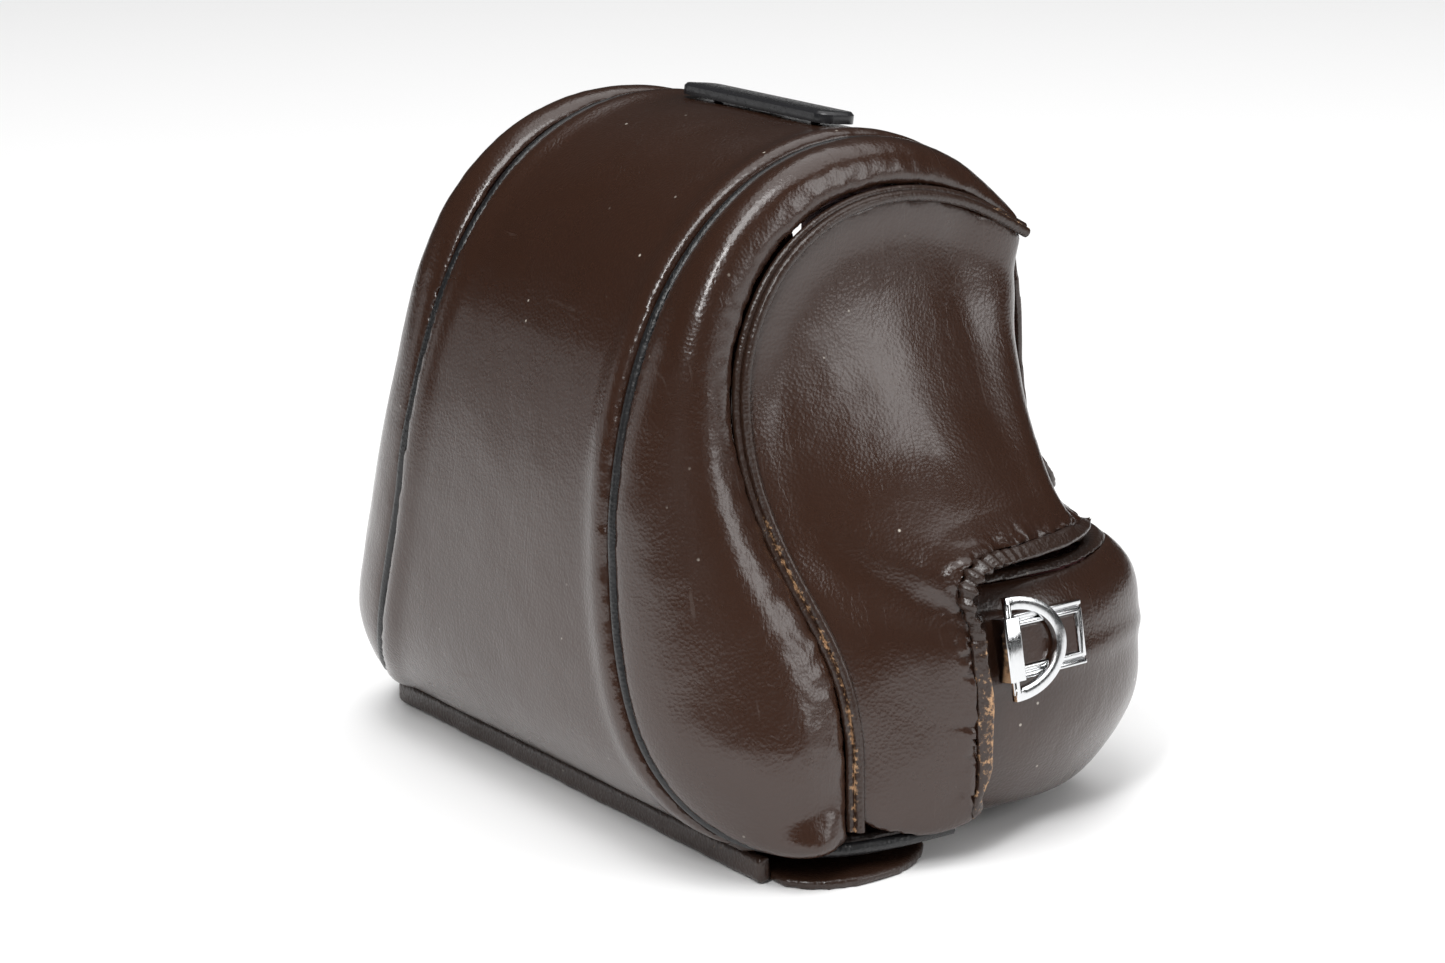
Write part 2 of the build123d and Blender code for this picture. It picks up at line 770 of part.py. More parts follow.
with BuildPart() as d_ring:
    with BuildSketch(ring_axis.offset(-ring_thickness / 2)):
        Ellipse(ring_reach, ring_span / 2)
        Ellipse(ring_reach - ring_width, ring_span / 2 - ring_width, mode=Mode.SUBTRACT)
        with Locations((-ring_reach, 0)):
            Rectangle(2 * ring_reach - 1.2, 2 * ring_span, mode=Mode.SUBTRACT)
    extrude(amount=ring_thickness)
    with BuildSketch(Plane(origin=ring_axis.origin, x_dir=(0, 1, 0), z_dir=fitting_plane.y_dir)):
        Circle(ring_bar_radius)
    extrude(amount=ring_span / 2 - ring_width / 2, both=True)
save_pair(d_ring, "d_ring")

with BuildPart() as strap_rivets:
    with BuildSketch(fitting_plane.offset(plate_top)):
        with Locations(*rivet_spots):
            Circle(rivet_radius)
    extrude(amount=-(plate_top + wall + rivet_grip))
    with BuildSketch(fitting_plane.offset(-wall - rivet_grip)):
        with Locations(*rivet_spots):
            Circle(2.4 * rivet_radius)
    extrude(amount=-0.5)
save_pair(strap_rivets, "strap_rivets")

with BuildPart() as rivet_holes:
    with BuildSketch(fitting_plane):
        with Locations(*rivet_spots):
            Circle(rivet_radius + running_clearance)
    extrude(amount=-4 * wall)
    mirror(about=Plane.YZ)
for shell, name in ((half_case, "half_case"), (half_case_lining, "half_case_lining")):
    with BuildPart() as drilled:
        add(shell.part)
        add(rivet_holes.part, mode=Mode.SUBTRACT)
    save(drilled, name)
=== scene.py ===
import math

import bpy
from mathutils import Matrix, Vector, kdtree, noise


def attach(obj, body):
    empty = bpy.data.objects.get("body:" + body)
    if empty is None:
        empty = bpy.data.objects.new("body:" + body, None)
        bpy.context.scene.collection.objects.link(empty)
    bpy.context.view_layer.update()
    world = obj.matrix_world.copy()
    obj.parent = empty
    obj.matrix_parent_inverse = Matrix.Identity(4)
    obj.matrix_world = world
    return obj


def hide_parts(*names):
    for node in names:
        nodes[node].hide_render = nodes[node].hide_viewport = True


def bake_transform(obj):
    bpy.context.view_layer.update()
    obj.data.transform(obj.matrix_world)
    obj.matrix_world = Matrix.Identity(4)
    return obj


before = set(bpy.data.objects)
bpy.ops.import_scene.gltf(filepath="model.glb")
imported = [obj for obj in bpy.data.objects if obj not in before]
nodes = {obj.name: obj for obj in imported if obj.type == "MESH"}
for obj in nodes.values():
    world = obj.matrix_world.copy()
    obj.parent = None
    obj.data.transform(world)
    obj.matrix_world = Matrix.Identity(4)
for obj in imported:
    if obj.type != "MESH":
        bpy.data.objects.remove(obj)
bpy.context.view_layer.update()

# ---------------------------------------------------------------- camera, floor and lights
# A long lens from the right of the front, a little above, over a white sweep. A large box behind
# lights the sweep and a small one hangs over the case. A strip puts the highlight on the cheek, and
# weak boxes stand at the left front and behind the right end.
camera_place = Vector((0.5184, -0.3836, 0.2353))
camera_azimuth = math.radians(53.5)
camera_elevation = math.radians(15.59)
towards_camera = Vector((
    math.sin(camera_azimuth) * math.cos(camera_elevation),
    -math.cos(camera_azimuth) * math.cos(camera_elevation),
    math.sin(camera_elevation),
))
bpy.ops.object.camera_add(location=camera_place)
camera = bpy.context.object
camera.rotation_euler = (-towards_camera).to_track_quat("-Z", "Y").to_euler()
camera.data.lens = 85.15
camera.data.sensor_width = 36
camera.data.clip_start = 0.01
bpy.context.scene.camera = camera

bpy.ops.mesh.primitive_plane_add(size=12, location=(0, 0, 0))
floor = bpy.context.object
floor.name = "floor"
paper = bpy.data.materials.new("white_paper")
paper.use_nodes = True
paper_shader = paper.node_tree.nodes["Principled BSDF"]
paper_shader.inputs["Base Color"].default_value = (0.9, 0.9, 0.9, 1)
paper_shader.inputs["Roughness"].default_value = 0.9
paper_shader.inputs["Specular IOR Level"].default_value = 0.1
floor.data.materials.append(paper)

world = bpy.data.worlds.new("studio")
world.use_nodes = True
sky = world.node_tree.nodes["Background"]
sky.inputs["Color"].default_value = (1, 1, 1, 1)
ray = world.node_tree.nodes.new("ShaderNodeLightPath")
dim = world.node_tree.nodes.new("ShaderNodeMapRange")
dim.inputs["To Min"].default_value = 0.42
dim.inputs["To Max"].default_value = 0.03
world.node_tree.links.new(ray.outputs["Is Glossy Ray"], dim.inputs["Value"])
world.node_tree.links.new(dim.outputs[0], sky.inputs["Strength"])
bpy.context.scene.view_settings.view_transform = "Standard"
bpy.context.scene.world = world


def soft_box(name, place, width, height, power):
    """A rectangular studio light that faces the middle of the case."""
    bpy.ops.object.light_add(type="AREA", location=place)
    lamp = bpy.context.object
    lamp.name = name
    lamp.rotation_euler = (Vector((0, 0, 0.05)) - Vector(place)).to_track_quat("-Z", "Y").to_euler()
    lamp.data.shape = "RECTANGLE"
    lamp.data.size = width
    lamp.data.size_y = height
    lamp.data.energy = power


soft_box("overhead_box", (0.30, -0.42, 1.5), 0.7, 0.7, 10)
soft_box("front_box", (0.52, -0.78, 0.95), 0.2, 0.45, 7)
soft_box("wide_box", (-0.2, 0.6, 2.2), 2.6, 2.2, 27)
soft_box("left_box", (-1.5, -1.25, 0.3), 0.7, 0.5, 0.7)
soft_box("right_box", (1.5, 1.0, 0.8), 0.7, 1.0, 8)


# ---------------------------------------------------------------- leather and how it is worked
# Chocolate-brown cowhide with a polished, nearly black finish. It is creased by use, carries a few
# pale specks and fine scratches, and has rubbed through to tan along its exposed edges.
def new_group(name, inputs, outputs):
    group = bpy.data.node_groups.new(name, "ShaderNodeTree")
    for label, kind, value in inputs:
        socket = group.interface.new_socket(label, in_out="INPUT", socket_type=kind)
        socket.default_value = value
    for label, kind in outputs:
        group.interface.new_socket(label, in_out="OUTPUT", socket_type=kind)
    start = group.nodes.new("NodeGroupInput")
    end = group.nodes.new("NodeGroupOutput")
    return group, start, end


def add(tree, kind, links=None, **values):
    """One shader node with its settings, and with its inputs filled from values or other sockets."""
    node = tree.nodes.new(kind)
    for key, value in values.items():
        setattr(node, key, value)
    for key, value in (links or {}).items():
        if isinstance(value, bpy.types.NodeSocket):
            tree.links.new(value, node.inputs[key])
        else:
            node.inputs[key].default_value = value
    return node


def build_hide_group():
    group, start, end = new_group(
        "hide",
        [("Dark", "NodeSocketColor", (0.02, 0.01, 0.007, 1)),
         ("Light", "NodeSocketColor", (0.03, 0.016, 0.011, 1)),
         ("Gloss", "NodeSocketFloat", 0.27), ("Grain", "NodeSocketFloat", 1.0),
         ("Specks", "NodeSocketFloat", 1.0)],
        [("Color", "NodeSocketColor"), ("Roughness", "NodeSocketFloat"), ("Height", "NodeSocketFloat")],
    )
    place = add(group, "ShaderNodeTexCoord").outputs["Object"]
    cloud = add(group, "ShaderNodeTexNoise", {"Vector": place, "Scale": 45.0, "Detail": 4.0,
                                              "Roughness": 0.6})
    patch = add(group, "ShaderNodeTexNoise", {"Vector": place, "Scale": 14.0, "Detail": 2.0})
    pores = add(group, "ShaderNodeTexVoronoi", {"Vector": place, "Scale": 1500.0})
    warp = add(group, "ShaderNodeTexNoise", {"Vector": place, "Scale": 260.0, "Detail": 3.0})
    # creases: thin valleys where a stretched noise passes through its middle value
    stretched = add(group, "ShaderNodeMapping", {"Vector": place, "Rotation": (0.5, 0.3, 0.9),
                                                 "Scale": (1, 1, 0.35)})
    fold = add(group, "ShaderNodeTexNoise", {"Vector": stretched.outputs[0], "Scale": 70.0, "Detail": 5.0,
                                             "Roughness": 0.62, "Distortion": 0.6})
    middle = add(group, "ShaderNodeMath", {0: fold.outputs[0], 1: 0.5}, operation="SUBTRACT")
    near = add(group, "ShaderNodeMath", {0: middle.outputs[0]}, operation="ABSOLUTE")
    crease = add(group, "ShaderNodeMapRange", {"Value": near.outputs[0], "From Max": 0.02})
    # pale specks of dust
    dust = add(group, "ShaderNodeTexVoronoi", {"Vector": place, "Scale": 210.0, "Randomness": 1.0})
    speck = add(group, "ShaderNodeMapRange", {"Value": dust.outputs["Distance"], "From Min": 0.035,
                                              "From Max": 0.075, "To Min": 1.0, "To Max": 0.0})
    where = add(group, "ShaderNodeMapRange", {"Value": cloud.outputs[0], "From Min": 0.55,
                                              "From Max": 0.62})
    speck_here = add(group, "ShaderNodeMath", {0: speck.outputs[0], 1: where.outputs[0]},
                     operation="MULTIPLY")
    speck_mask = add(group, "ShaderNodeMath", {0: speck_here.outputs[0], 1: start.outputs["Specks"]},
                     operation="MULTIPLY")
    # fine scratches
    line_place = add(group, "ShaderNodeMapping", {"Vector": place, "Rotation": (0.2, 1.1, 0.5),
                                                  "Scale": (1, 14, 1)})
    lines = add(group, "ShaderNodeTexNoise", {"Vector": line_place.outputs[0], "Scale": 60.0,
                                              "Detail": 3.0})
    scratch = add(group, "ShaderNodeMapRange", {"Value": lines.outputs[0], "From Min": 0.69,
                                                "From Max": 0.74})
    tone = add(group, "ShaderNodeMix", {0: patch.outputs[0], 6: start.outputs["Dark"],
                                        7: start.outputs["Light"]}, data_type="RGBA")
    faded = add(group, "ShaderNodeMath", {0: scratch.outputs[0], 1: 0.05}, operation="MULTIPLY")
    scratched = add(group, "ShaderNodeMix", {0: faded.outputs[0], 6: tone.outputs[2],
                                             7: (0.25, 0.2, 0.17, 1)}, data_type="RGBA")
    dusty = add(group, "ShaderNodeMix", {0: speck_mask.outputs[0], 6: scratched.outputs[2],
                                         7: (0.42, 0.38, 0.33, 1)}, data_type="RGBA")
    group.links.new(dusty.outputs[2], end.inputs["Color"])
    vary = add(group, "ShaderNodeMath", {0: cloud.outputs[0], 1: 0.22, 2: -0.11}, operation="MULTIPLY_ADD")
    rough = add(group, "ShaderNodeMath", {0: vary.outputs[0], 1: start.outputs["Gloss"]}, operation="ADD")
    scuffed = add(group, "ShaderNodeMath", {0: scratch.outputs[0], 1: 0.12, 2: rough.outputs[0]},
                  operation="MULTIPLY_ADD")
    group.links.new(scuffed.outputs[0], end.inputs["Roughness"])
    pore = add(group, "ShaderNodeMath", {0: pores.outputs["Distance"], 1: start.outputs["Grain"]},
               operation="MULTIPLY")
    body = add(group, "ShaderNodeMath", {0: warp.outputs[0], 1: 1.2, 2: pore.outputs[0]},
               operation="MULTIPLY_ADD")
    wave = add(group, "ShaderNodeMath", {0: crease.outputs[0], 1: 0.45, 2: body.outputs[0]},
               operation="MULTIPLY_ADD")
    slow = add(group, "ShaderNodeMath", {0: cloud.outputs[0], 1: 5.0, 2: wave.outputs[0]},
               operation="MULTIPLY_ADD")
    group.links.new(slow.outputs[0], end.inputs["Height"])
    return group


hide_group = build_hide_group()


def leather_material(name, dark, light, gloss, coat, bump, specks=1.0, wear=1.0):
    """Finished leather. The piece's own wear attribute, 0 to 1, says where the finish has rubbed off."""
    material = bpy.data.materials.new(name)
    material.use_nodes = True
    tree = material.node_tree
    shader = tree.nodes["Principled BSDF"]
    skin = add(tree, "ShaderNodeGroup", node_tree=hide_group)
    skin.inputs["Dark"].default_value = dark
    skin.inputs["Light"].default_value = light
    skin.inputs["Gloss"].default_value = gloss
    skin.inputs["Specks"].default_value = specks
    worn = add(tree, "ShaderNodeAttribute", attribute_name="wear")
    place = add(tree, "ShaderNodeTexCoord").outputs["Object"]
    ragged = add(tree, "ShaderNodeTexNoise", {"Vector": place, "Scale": 760.0, "Detail": 6.0,
                                              "Roughness": 0.7})
    sum_up = add(tree, "ShaderNodeMath", {0: worn.outputs["Fac"], 1: wear, 2: ragged.outputs[0]},
                 operation="MULTIPLY_ADD")
    mask = add(tree, "ShaderNodeMapRange", {"Value": sum_up.outputs[0], "From Min": 0.92, "From Max": 1.06})
    raw = add(tree, "ShaderNodeMix", {0: ragged.outputs[0], 6: (0.26, 0.1, 0.035, 1),
                                      7: (0.62, 0.4, 0.22, 1)}, data_type="RGBA")
    color = add(tree, "ShaderNodeMix", {0: mask.outputs[0], 6: skin.outputs["Color"], 7: raw.outputs[2]},
                data_type="RGBA")
    tree.links.new(color.outputs[2], shader.inputs["Base Color"])
    rough = add(tree, "ShaderNodeMapRange", {"Value": mask.outputs[0], "To Min": 0.0, "To Max": 0.5})
    total = add(tree, "ShaderNodeMath", {0: skin.outputs["Roughness"], 1: rough.outputs[0]},
                operation="ADD")
    tree.links.new(total.outputs[0], shader.inputs["Roughness"])
    relief = add(tree, "ShaderNodeBump", {"Height": skin.outputs["Height"], "Strength": bump,
                                          "Distance": 0.0002})
    tree.links.new(relief.outputs[0], shader.inputs["Normal"])
    shader.inputs["Coat Weight"].default_value = coat
    shader.inputs["Coat Roughness"].default_value = 0.16
    return material


brown_hide = leather_material("brown_hide", (0.022, 0.0085, 0.0045, 1), (0.038, 0.016, 0.009, 1),
                              gloss=0.28, coat=0.4, bump=0.26)
turned_hide = leather_material("turned_hide", (0.017, 0.0075, 0.0042, 1), (0.032, 0.0145, 0.0085, 1),
                               gloss=0.36, coat=0.2, bump=0.5)
black_hide = leather_material("black_hide", (0.004, 0.004, 0.0045, 1), (0.009, 0.009, 0.01, 1),
                              gloss=0.42, coat=0.15, bump=0.5, specks=0.7, wear=0.5)


def only(piece):
    bpy.ops.object.select_all(action="DESELECT")
    piece.select_set(True)
    bpy.context.view_layer.objects.active = piece


def copy_of(node, name):
    """A merged copy of a CAD node's mesh, as the start of the piece that stands for it."""
    piece = bpy.data.objects.new(name, nodes[node].data.copy())
    piece.data.materials.clear()
    bpy.context.scene.collection.objects.link(piece)
    piece.matrix_world = nodes[node].matrix_world.copy()
    only(piece)
    bpy.ops.object.transform_apply(location=True, rotation=True, scale=True)
    bpy.ops.object.mode_set(mode="EDIT")
    bpy.ops.mesh.select_all(action="SELECT")
    bpy.ops.mesh.remove_doubles(threshold=0.000002)
    bpy.ops.object.mode_set(mode="OBJECT")
    return piece


def worked_leather(node, body, material, voxel=0.0008, rounds=5, undulation=0.0, grain_size=0.02, puff=None,
                  pull=None):
    """A panel shaped over the CAD solid: its cut edges roll over and its skin undulates as hide does."""
    piece = copy_of(node, node + "_hide")
    remesh = piece.modifiers.new("even_skin", "REMESH")
    remesh.mode = "VOXEL"
    remesh.voxel_size = voxel
    bpy.ops.object.modifier_apply(modifier=remesh.name)
    smooth = piece.modifiers.new("rolled_edges", "SMOOTH")
    smooth.factor = 0.5
    smooth.iterations = rounds
    bpy.ops.object.modifier_apply(modifier=smooth.name)
    places = [vertex.co.copy() for vertex in piece.data.vertices]
    outward = [vertex.normal.copy() for vertex in piece.data.vertices]
    for vertex, place, normal in zip(piece.data.vertices, places, outward):
        lift = undulation * noise.fractal(place / grain_size, 1.0, 2.0, 3)
        if puff is not None:
            lift += puff(place)
        vertex.co = place + normal * lift + (pull(place) if pull is not None else Vector())
    bpy.ops.object.shade_smooth()
    piece.data.materials.append(material)
    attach(piece, body)
    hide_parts(node)
    return piece


def set_wear(piece, amount):
    """Writes the wear attribute from a function of a vertex's place."""
    layer = piece.data.attributes.new("wear", "FLOAT", "POINT")
    layer.data.foreach_set("value", [amount(vertex.co) for vertex in piece.data.vertices])


# ---------------------------------------------------------------- seam lines
# The cover's seams run round an axis across the case, inside the notch. Each line is read from the
# welt that fills it, as the mean place of the welt's points at every few degrees.
seam_axis = Vector((0, 0.0255, 0.030))


def seam_line(node, steps):
    rows = {}
    points = [vertex.co for vertex in nodes[node].data.vertices]
    turned = nodes[node].matrix_world
    for point in points:
        here = turned @ point
        angle = math.atan2(here.z - seam_axis.z, here.y - seam_axis.y) % (2 * math.pi)
        rows.setdefault(int(angle * steps), []).append(here)
    line = []
    for key in sorted(rows):
        group = rows[key]
        low = Vector([min(point[i] for point in group) for i in range(3)])
        high = Vector([max(point[i] for point in group) for i in range(3)])
        line.append((low + high) / 2)
    for _ in range(3):
        line = [line[0]] + [(a + 2 * b + c) / 4 for a, b, c in zip(line, line[1:], line[2:])] + [line[-1]]
    return line


def tree_of(points):
    tree = kdtree.KDTree(len(points))
    for index, point in enumerate(points):
        tree.insert(point, index)
    tree.balance()
    return tree


shoulder_line = seam_line("shoulder_welt_right", 24)
piping_line = seam_line("piping_right", 24)


def dense(line):
    return [a.lerp(b, k / 8) for a, b in zip(line, line[1:]) for k in range(8)] + [line[-1]]


shoulder_tree = tree_of(dense(shoulder_line))
piping_tree = tree_of(dense(piping_line))
rim = nodes["rim_binding_right"]
rim_tree = tree_of([rim.matrix_world @ vertex.co for vertex in rim.data.vertices])


def right_side(place):
    """The place on the right-hand half that mirrors this one."""
    return Vector((abs(place.x), place.y, place.z))


def drawn_to(tree, place, gap, near, far):
    """A shift towards a seam that closes the gap beside it and dies out further in."""
    here = right_side(place)
    spot, _, distance = tree.find(here)
    share = min(1.0, max(0.0, (far - distance) / (far - near)))
    move = (spot - here).normalized() * min(gap, distance) * share
    return Vector((math.copysign(move.x, move.x * place.x) if place.x else 0.0, move.y, move.z))


def shoulder_wear(place, reach=0.0028):
    """Rubbed bare below mid-height and at the back of the top, where the case is gripped and set down."""
    here = right_side(place)
    distance = shoulder_tree.find(here)[2]
    near = max(0.0, 1 - distance / reach)
    low = min(1.0, max(0.0, (0.082 - here.z) / 0.02))
    back = min(1.0, max(0.0, (here.y - 0.012) / 0.02)) if here.z > 0.09 else 0
    return near * (0.12 + 0.46 * max(low, back))


# ---------------------------------------------------------------- middle panel
# One wide piece of hide over board, up the front of the nose and over the top. It stands a little
# full along both pipings and sinks slightly between them.
def middle_puff(place):
    distance = piping_tree.find(right_side(place))[2]
    return 0.0007 * math.exp(-((distance - 0.0045) / 0.003) ** 2) if distance < 0.02 else 0.0


center_hide = worked_leather("center_panel", "cover", brown_hide, voxel=0.0009, rounds=4,
                             undulation=0.00025, grain_size=0.03, puff=middle_puff)
set_wear(center_hide, lambda place: 0.0)


# ---------------------------------------------------------------- cheek panels
# Soft hide stretched from the piping to the shoulder seam on each side. It stands full between its
# seams, and it is puckered along the shoulder seam by the stitches.
def cheek_puff(place):
    here = right_side(place)
    outer = piping_tree.find(here)[2]
    inner = shoulder_tree.find(here)[2]
    swell = 0.0008 * min(1.0, outer / 0.010) * min(1.0, inner / 0.010)
    pucker = 0.0004 * math.exp(-inner / 0.006) * noise.noise(Vector((here.y, here.z, 0)) * 420)
    return swell + pucker


for side in ("left", "right"):
    cheek = worked_leather(f"cheek_panel_{side}", "cover", brown_hide, rounds=6, undulation=0.0002,
                           puff=cheek_puff,
                           pull=lambda place: drawn_to(piping_tree, place, 0.0009, 0.003, 0.007))
    set_wear(cheek, shoulder_wear)


# ---------------------------------------------------------------- flank panels
# The hollowed sides, pulled down to the notch that the half case's ends stand in. Their skin is
# smooth but rippled along the back corner, where the board under it bends most.
def flank_puff(place):
    here = right_side(place)
    edge = shoulder_tree.find(here)[2]
    roll = 0.0006 * math.exp(-((edge - 0.004) / 0.003) ** 2)
    corner = min(1.0, max(0.0, (here.y - 0.026) / 0.012)) if here.z > 0.07 else 0.0
    ripple = 0.0007 * corner * noise.noise(Vector((here.x * 20, here.y * 20, here.z * 110)))
    return roll + ripple


for side in ("left", "right"):
    flank = worked_leather(f"flank_panel_{side}", "cover", brown_hide, rounds=6, undulation=0.0002,
                           puff=flank_puff,
                           pull=lambda place: drawn_to(rim_tree, place, 0.0021, 0.0026, 0.007)
                           + drawn_to(shoulder_tree, place, 0.0017, 0.0035, 0.008))
    set_wear(flank, lambda place: 0.6 * shoulder_wear(place))


# ---------------------------------------------------------------- rim bindings
# The flank's edge is wrapped in a turned strip that is gathered round the notch's corner. The
# standing part has been rubbed through to the tan hide under its finish.
def binding_pleats(place):
    here = right_side(place)
    corner = math.exp(-(((here.y - 0.001) / 0.009) ** 2 + ((here.z - 0.053) / 0.009) ** 2))
    return 0.0005 * corner * math.sin(math.atan2(here.z - 0.045, here.y - 0.012) * 34)


def binding_wear(place):
    here = right_side(place)
    standing = min(1.0, max(0.0, (0.05 - here.z) / 0.012))
    outer = min(1.0, max(0.0, (here.y - 0.0005) / 0.002))
    patch = 0.5 + 0.5 * noise.noise(Vector((0, here.y, here.z)) * 90)
    return 0.2 + standing * (0.16 + 0.34 * outer * patch)


for side in ("left", "right"):
    binding = worked_leather(f"rim_binding_{side}", "cover", turned_hide, voxel=0.00055, rounds=5,
                             undulation=0.00015, grain_size=0.006, puff=binding_pleats)
    set_wear(binding, binding_wear)


# ---------------------------------------------------------------- pipings and shoulder welts
# Black piping cord lies sunk in the front seams. The shoulder seams are closed by a folded welt,
# which shows as two beads with the stitches between them.
def bead(name, line, radius, material, wear, replaced=None):
    """A round cord along a seam line, closed at both ends."""
    curve = bpy.data.curves.new(name, "CURVE")
    curve.dimensions = "3D"
    curve.bevel_depth = radius
    curve.bevel_resolution = 3
    curve.resolution_u = 6
    curve.use_fill_caps = True
    spline = curve.splines.new("NURBS")
    spline.points.add(len(line) - 1)
    for point, place in zip(spline.points, line):
        point.co = (*place, 1)
    spline.use_endpoint_u = True
    spline.order_u = 4
    cord = bpy.data.objects.new(name, curve)
    bpy.context.scene.collection.objects.link(cord)
    only(cord)
    bpy.ops.object.convert(target="MESH")
    cord = bpy.context.object
    bpy.ops.object.shade_smooth()
    cord.data.materials.append(material)
    set_wear(cord, wear)
    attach(cord, "cover")
    if replaced:
        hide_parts(replaced)
    return cord


def shifted(line, across, out):
    """The same line moved across the seam, and outwards from the case."""
    moved = []
    for index, place in enumerate(line):
        before, after = line[max(0, index - 1)], line[min(len(line) - 1, index + 1)]
        along = (after - before).normalized()
        radial = Vector((0.0, place.y - seam_axis.y, place.z - seam_axis.z)).normalized()
        outward = radial + Vector((0.55, 0, 0))
        outward = (outward - along * outward.dot(along)).normalized()
        moved.append(place + along.cross(outward).normalized() * across + outward * out)
    return moved


def flipped(line):
    return [Vector((-place.x, place.y, place.z)) for place in line]


for side, turn in (("right", list), ("left", flipped)):
    bead(f"piping_cord_{side}", turn(shifted(piping_line, 0, -0.0004)), 0.00125, black_hide,
         lambda place: 0.0, replaced=f"piping_{side}")
    bead(f"welt_front_{side}", turn(shifted(shoulder_line, 0.00075, 0.0001)), 0.0009, turned_hide,
         lambda place: shoulder_wear(place) * 0.9, replaced=f"shoulder_welt_{side}")
    bead(f"welt_rear_{side}", turn(shifted(shoulder_line, -0.00085, 0.0)), 0.001, turned_hide,
         lambda place: shoulder_wear(place) * 1.15)

# ---------------------------------------------------------------- floor of the nose, flap and front welt
# The nose is closed below by a plain panel. A flap of the same hide joins its front edge to the half
# case's sole and is rolled over a cord in front.
floor_hide = worked_leather("floor_panel", "cover", turned_hide, voxel=0.0008, rounds=3)
set_wear(floor_hide, lambda place: 0.1)
flap_hide = worked_leather("base_flap", "cover", turned_hide, voxel=0.0008, rounds=4, undulation=0.00015)
set_wear(flap_hide, lambda place: 0.22)
front_roll = worked_leather("front_welt", "cover", turned_hide, voxel=0.0006, rounds=4, undulation=0.0002,
                            grain_size=0.008)
set_wear(front_roll, lambda place: 0.25)


# ---------------------------------------------------------------- half case
# A barrel-ended tray of the same hide, moulded wet over a block. A soft ridge runs round its ends
# at two thirds of its height, and its upper edge is bound.
def tray_crease(place):
    here = right_side(place)
    if here.x < 0.045:
        return 0.0
    return 0.0005 * math.exp(-((here.z - 0.0345 - 0.02 * (here.y - 0.01)) / 0.0022) ** 2)


tray_hide = worked_leather("half_case", "half_case", brown_hide, voxel=0.001, rounds=5, undulation=0.00025,
                           grain_size=0.022, puff=tray_crease)
set_wear(tray_hide, lambda place: 0.0)
tray_edge = worked_leather("half_case_binding", "half_case", turned_hide, voxel=0.0006, rounds=4)
set_wear(tray_edge, lambda place: 0.2)
sole_hide = worked_leather("sole", "half_case", turned_hide, voxel=0.0009, rounds=4)
set_wear(sole_hide, lambda place: 0.15)

# ---------------------------------------------------------------- rear flap
# A flap of hide that carries the middle panel's line down the back to a press stud.
rear_hide = worked_leather("rear_flap", "rear_flap", brown_hide, voxel=0.0008, rounds=5, undulation=0.00025)
set_wear(rear_hide, lambda place: 0.0)
for side in ("left", "right"):
    insert = worked_leather(f"strap_insert_{side}", "half_case", brown_hide, voxel=0.0003, rounds=4)
    set_wear(insert, lambda place: 0.0)


# ---------------------------------------------------------------- hinge strips
# A strip of thinner hide joins the rear flap to the cover, and another joins the flap under the nose
# to the sole. They are let into the panels that they join.
def hinge_strip(name, path, half_width, thickness):
    """A sheet along a path of (back, up) points, from side to side of the case."""
    rows = []
    for (y0, z0), (y1, z1) in zip(path, path[1:]):
        rows += [(y0 + (y1 - y0) * k / 6, z0 + (z1 - z0) * k / 6) for k in range(6)]
    rows.append(path[-1])
    columns = [half_width * (k / 20 - 1) for k in range(41)]
    mesh = bpy.data.meshes.new(name)
    places = [(x, y + 0.0001 * noise.noise(Vector((x, y, z)) * 160), z) for y, z in rows for x in columns]
    count = len(columns)
    faces = [(r * count + c, r * count + c + 1, (r + 1) * count + c + 1, (r + 1) * count + c)
             for r in range(len(rows) - 1) for c in range(count - 1)]
    mesh.from_pydata(places, [], faces)
    piece = bpy.data.objects.new(name, mesh)
    bpy.context.scene.collection.objects.link(piece)
    only(piece)
    sheet = piece.modifiers.new("sheet", "SOLIDIFY")
    sheet.thickness = thickness
    sheet.offset = 0
    bpy.ops.object.modifier_apply(modifier=sheet.name)
    bpy.ops.object.shade_smooth_by_angle(angle=math.radians(35))
    piece.data.materials.append(turned_hide)
    set_wear(piece, lambda place: 0.12)
    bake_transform(piece)


hinge_strip("rear_hinge_strip",
            [(0.0378, 0.1119), (0.0396, 0.1102), (0.0418, 0.1090), (0.0438, 0.1078), (0.0447, 0.1062),
             (0.0450, 0.1030)],
            0.0295, 0.0012)
hinge_strip("sole_hinge_strip", [(0.003, 0.001), (-0.001, 0.001), (-0.0035, 0.001), (-0.0075, 0.001)],
            0.052, 0.0008)


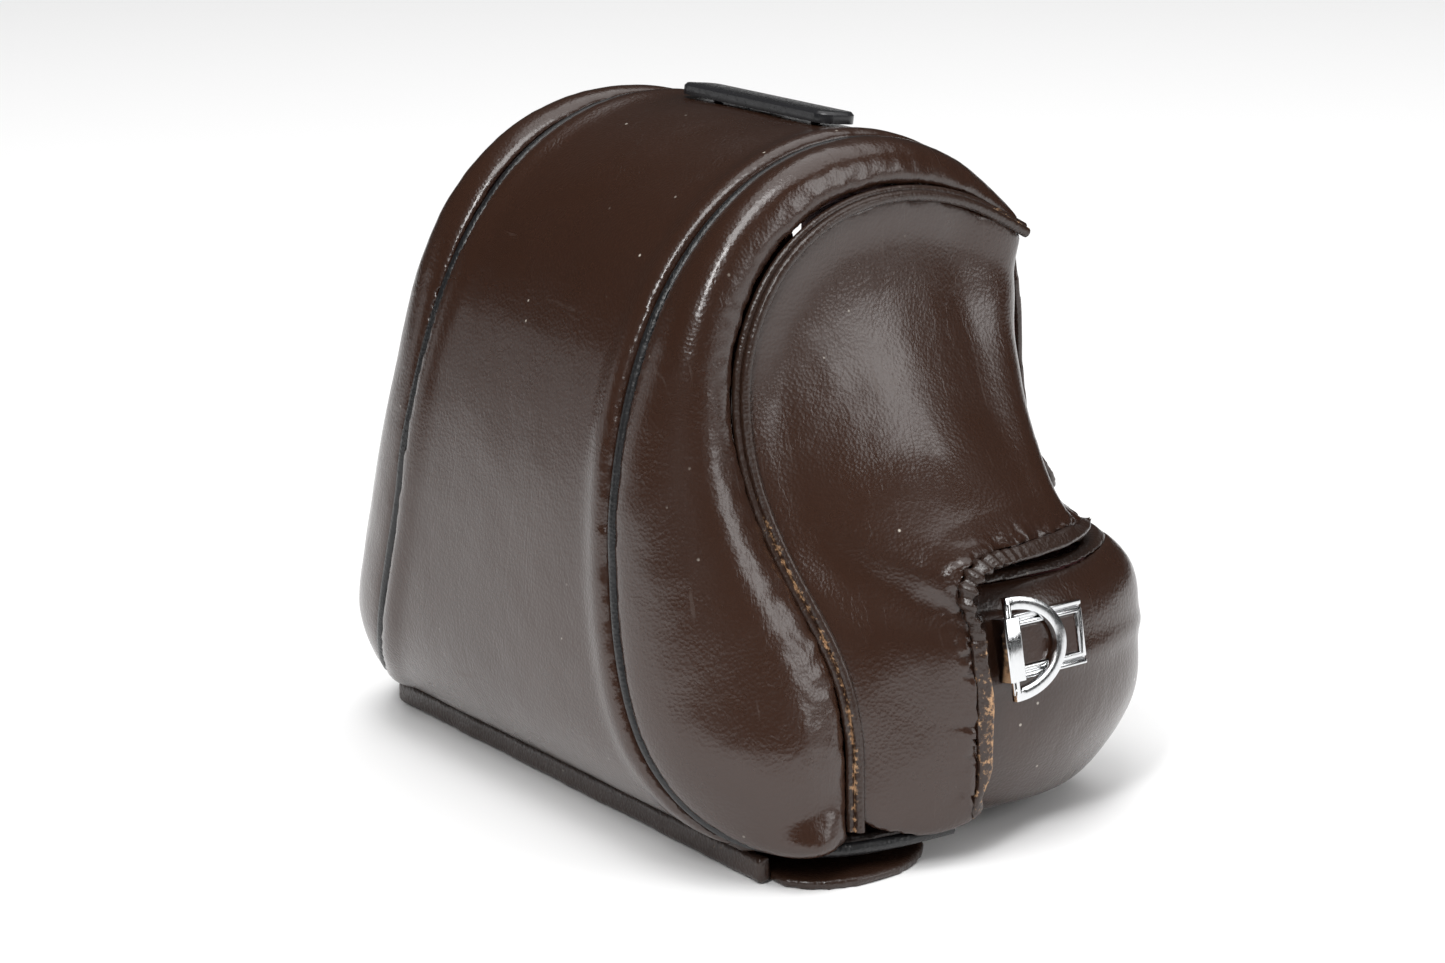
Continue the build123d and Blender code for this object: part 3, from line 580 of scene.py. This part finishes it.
# ---------------------------------------------------------------- chrome
# Pressed and folded strip, nickelled and chromed, with softened edges and hairline rubbing marks.
def metal_material(name, color, roughness):
    material = bpy.data.materials.new(name)
    material.use_nodes = True
    tree = material.node_tree
    shader = tree.nodes["Principled BSDF"]
    shader.inputs["Metallic"].default_value = 1.0
    place = add(tree, "ShaderNodeTexCoord").outputs["Object"]
    stretch = add(tree, "ShaderNodeMapping", {"Vector": place, "Scale": (1, 9, 1)})
    rubbed = add(tree, "ShaderNodeTexNoise", {"Vector": stretch.outputs[0], "Scale": 900.0, "Detail": 4.0})
    rough = add(tree, "ShaderNodeMapRange", {"Value": rubbed.outputs[0], "From Min": 0.35, "From Max": 0.75,
                                             "To Min": roughness * 0.7, "To Max": roughness * 2.2})
    tree.links.new(rough.outputs[0], shader.inputs["Roughness"])
    tint = add(tree, "ShaderNodeMix", {0: rubbed.outputs[0], 6: color,
                                       7: [0.82 * c for c in color[:3]] + [1]}, data_type="RGBA")
    tree.links.new(tint.outputs[2], shader.inputs["Base Color"])
    relief = add(tree, "ShaderNodeBump", {"Height": rubbed.outputs[0], "Strength": 0.15,
                                          "Distance": 0.0001})
    tree.links.new(relief.outputs[0], shader.inputs["Normal"])
    return material


chrome = metal_material("chrome_plate", (0.78, 0.79, 0.8, 1), 0.1)


def plated(node, body, edge):
    """A metal piece with its stamped edges eased."""
    piece = copy_of(node, node + "_plated")
    bevel = piece.modifiers.new("eased", "BEVEL")
    bevel.width = edge
    bevel.segments = 2
    bevel.limit_method = "ANGLE"
    bevel.angle_limit = math.radians(35)
    bpy.ops.object.modifier_apply(modifier=bevel.name)
    bpy.ops.object.shade_smooth_by_angle(angle=math.radians(35))
    piece.data.materials.append(chrome)
    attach(piece, body)
    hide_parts(node)
    return piece


for side in ("left", "right"):
    plated(f"strap_frame_{side}", "half_case", 0.00018)
    plated(f"strap_clip_{side}", "half_case", 0.0002)
    plated(f"d_ring_{side}", f"d_ring_{side}", 0.0003)
    plated(f"strap_rivets_{side}", "half_case", 0.0001)
plated("press_cap", "rear_flap", 0.0001)
plated("press_socket", "rear_flap", 0.0001)
plated("press_stud", "half_case", 0.0001)
plated("screw_grommet", "half_case", 0.0001)
plated("screw_ring", "screw_ring", 0.00005)
plated("tripod_screw", "tripod_screw", 0.00012)

# ---------------------------------------------------------------- linings and board
# The cover and the half case are lined with dark crimson velour over grey board.
velour = bpy.data.materials.new("lining_velour")
velour.use_nodes = True
tree = velour.node_tree
shader = tree.nodes["Principled BSDF"]
place = add(tree, "ShaderNodeTexCoord").outputs["Object"]
pile = add(tree, "ShaderNodeTexNoise", {"Vector": place, "Scale": 1600.0, "Detail": 3.0})
brushed = add(tree, "ShaderNodeTexNoise", {"Vector": place, "Scale": 60.0, "Detail": 3.0})
tone = add(tree, "ShaderNodeMix", {0: brushed.outputs[0], 6: (0.05, 0.008, 0.009, 1),
                                   7: (0.12, 0.017, 0.019, 1)}, data_type="RGBA")
tree.links.new(tone.outputs[2], shader.inputs["Base Color"])
relief = add(tree, "ShaderNodeBump", {"Height": pile.outputs[0], "Strength": 0.6, "Distance": 0.0003})
tree.links.new(relief.outputs[0], shader.inputs["Normal"])
shader.inputs["Roughness"].default_value = 0.9
shader.inputs["Sheen Weight"].default_value = 0.6
shader.inputs["Sheen Roughness"].default_value = 0.4
board = bpy.data.materials.new("grey_board")
board.use_nodes = True
tree = board.node_tree
shader = tree.nodes["Principled BSDF"]
place = add(tree, "ShaderNodeTexCoord").outputs["Object"]
fibre = add(tree, "ShaderNodeTexNoise", {"Vector": place, "Scale": 500.0, "Detail": 5.0})
tone = add(tree, "ShaderNodeMix", {0: fibre.outputs[0], 6: (0.16, 0.12, 0.09, 1), 7: (0.3, 0.24, 0.18, 1)},
           data_type="RGBA")
tree.links.new(tone.outputs[2], shader.inputs["Base Color"])
shader.inputs["Roughness"].default_value = 0.85
for name, node in nodes.items():
    if name.endswith("_lining") or "_lining_" in name or name == "nose_board":
        node.data.materials.clear()
        node.data.materials.append(board if name == "nose_board" else velour)

# ---------------------------------------------------------------- badge
# A blank plate pinned to the top, in polished black enamel with bevelled edges.
enamel = metal_material("badge_face", (0.02, 0.02, 0.022, 1), 0.16)
enamel.node_tree.nodes["Principled BSDF"].inputs["Metallic"].default_value = 0.0
badge = copy_of("badge", "badge_plate")
bevel = badge.modifiers.new("eased", "BEVEL")
bevel.width = 0.0003
bevel.segments = 2
bevel.limit_method = "ANGLE"
bpy.ops.object.modifier_apply(modifier=bevel.name)
bpy.ops.object.shade_smooth_by_angle(angle=math.radians(35))
badge.data.materials.append(enamel)
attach(badge, "cover")
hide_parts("badge")
